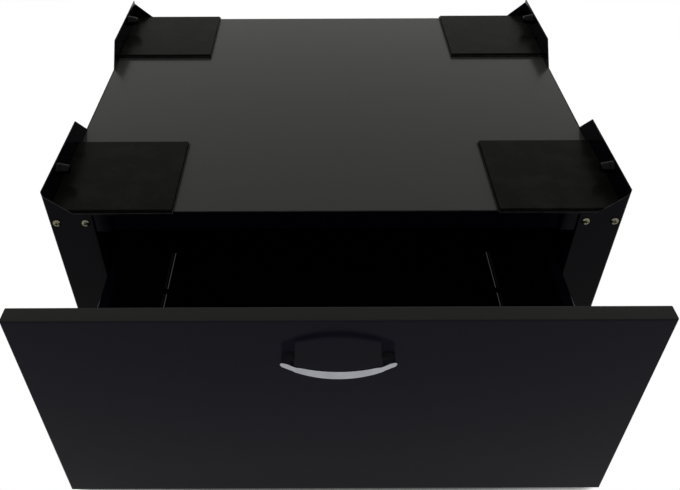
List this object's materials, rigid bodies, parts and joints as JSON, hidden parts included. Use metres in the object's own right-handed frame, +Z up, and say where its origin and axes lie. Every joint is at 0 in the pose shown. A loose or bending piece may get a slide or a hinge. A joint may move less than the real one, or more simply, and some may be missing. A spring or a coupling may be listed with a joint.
{
  "type": "washer pedestal drawer",
  "caption": "Low folded-steel cabinet that a washing machine stands on, held by corner lips over rubber pads, with a wide drawer on telescopic ball slides.",
  "frame": {"origin": "on the floor, below the middle of the part as it stands with its drawer part open", "axes": "+X to the right of a person facing the drawer, +Y from the drawer's handle to the cabinet's back, +Z up"},
  "size_m": [0.63, 0.7144, 0.33],
  "materials": {
    "enamel": "black semi-gloss stove enamel on sheet steel",
    "rubber": "matt black rubber",
    "black_steel": "black oxide on steel",
    "zinc_steel": "bright zinc plate on cold-rolled steel",
    "plated_screw": "nickel plate on steel",
    "satin_chrome": "satin chrome on a casting"
  },
  "bodies": {
    "cabinet": {"side_panel_left": "enamel", "side_panel_right": "enamel", "top_deck": "enamel", "deck_brace_front": "enamel", "deck_brace_rear": "enamel", "back_panel": "enamel", "base_front_rail": "enamel", "base_rear_rail": "enamel", "slide_carrier_left": "enamel", "slide_carrier_right": "enamel", "corner_plate_front_left": "enamel", "corner_plate_front_right": "enamel", "corner_plate_rear_left": "enamel", "corner_plate_rear_right": "enamel", "rubber_pad_front_left": "rubber", "rubber_pad_front_right": "rubber", "rubber_pad_rear_left": "rubber", "rubber_pad_rear_right": "rubber", "stop_bolt_front_left": "black_steel", "stop_bolt_front_right": "black_steel", "stop_bolt_rear_left": "black_steel", "stop_bolt_rear_right": "black_steel", "lock_nut_front_left": "black_steel", "lock_nut_front_right": "black_steel", "lock_nut_rear_left": "black_steel", "lock_nut_rear_right": "black_steel", "foot_front_left": "rubber", "foot_front_right": "rubber", "foot_rear_left": "rubber", "foot_rear_right": "rubber", "stile_screw_outer_left": "plated_screw", "stile_screw_outer_right": "plated_screw", "stile_screw_inner_left": "plated_screw", "stile_screw_inner_right": "plated_screw", "slide_fixed_left": "zinc_steel", "slide_fixed_right": "zinc_steel"},
    "drawer": {"drawer_front": "enamel", "drawer_inner_front": "enamel", "drawer_side_left": "enamel", "drawer_side_right": "enamel", "drawer_floor": "enamel", "drawer_back": "enamel", "handle": "satin_chrome", "handle_screw_left": "plated_screw", "handle_screw_right": "plated_screw", "shut_bumper_left": "rubber", "shut_bumper_right": "rubber", "slide_drawer_left": "zinc_steel", "slide_drawer_right": "zinc_steel"},
    "slide_middle_left": {"slide_middle_left": "zinc_steel"},
    "slide_middle_right": {"slide_middle_right": "zinc_steel"},
    "ball_cage_outer_left": {"ball_cage_outer_left": "zinc_steel"},
    "ball_cage_outer_right": {"ball_cage_outer_right": "zinc_steel"},
    "ball_cage_inner_left": {"ball_cage_inner_left": "zinc_steel"},
    "ball_cage_inner_right": {"ball_cage_inner_right": "zinc_steel"}
  },
  "joints": [
    {"name": "drawer_slide", "type": "slide", "parent": "cabinet", "child": "drawer", "axis": [0, -1, 0], "range_m": [-0.136, 0.283]},
    {"name": "middle_slide_left", "type": "slide", "parent": "cabinet", "child": "slide_middle_left", "axis": [0, -1, 0], "range_m": [-0.07, 0.143]},
    {"name": "middle_slide_right", "type": "slide", "parent": "cabinet", "child": "slide_middle_right", "axis": [0, -1, 0], "range_m": [-0.07, 0.143]},
    {"name": "outer_cage_roll_left", "type": "slide", "parent": "cabinet", "child": "ball_cage_outer_left", "axis": [0, -1, 0], "range_m": [-0.036, 0.072]},
    {"name": "outer_cage_roll_right", "type": "slide", "parent": "cabinet", "child": "ball_cage_outer_right", "axis": [0, -1, 0], "range_m": [-0.036, 0.072]},
    {"name": "inner_cage_roll_left", "type": "slide", "parent": "cabinet", "child": "ball_cage_inner_left", "axis": [0, -1, 0], "range_m": [-0.104, 0.214]},
    {"name": "inner_cage_roll_right", "type": "slide", "parent": "cabinet", "child": "ball_cage_inner_right", "axis": [0, -1, 0], "range_m": [-0.104, 0.214]}
  ],
  "couplings": [
    {"joint": "middle_slide_left", "follows": "drawer_slide", "ratio": 0.5},
    {"joint": "middle_slide_right", "follows": "drawer_slide", "ratio": 0.5},
    {"joint": "outer_cage_roll_left", "follows": "drawer_slide", "ratio": 0.25},
    {"joint": "outer_cage_roll_right", "follows": "drawer_slide", "ratio": 0.25},
    {"joint": "inner_cage_roll_left", "follows": "drawer_slide", "ratio": 0.75},
    {"joint": "inner_cage_roll_right", "follows": "drawer_slide", "ratio": 0.75}
  ]
}
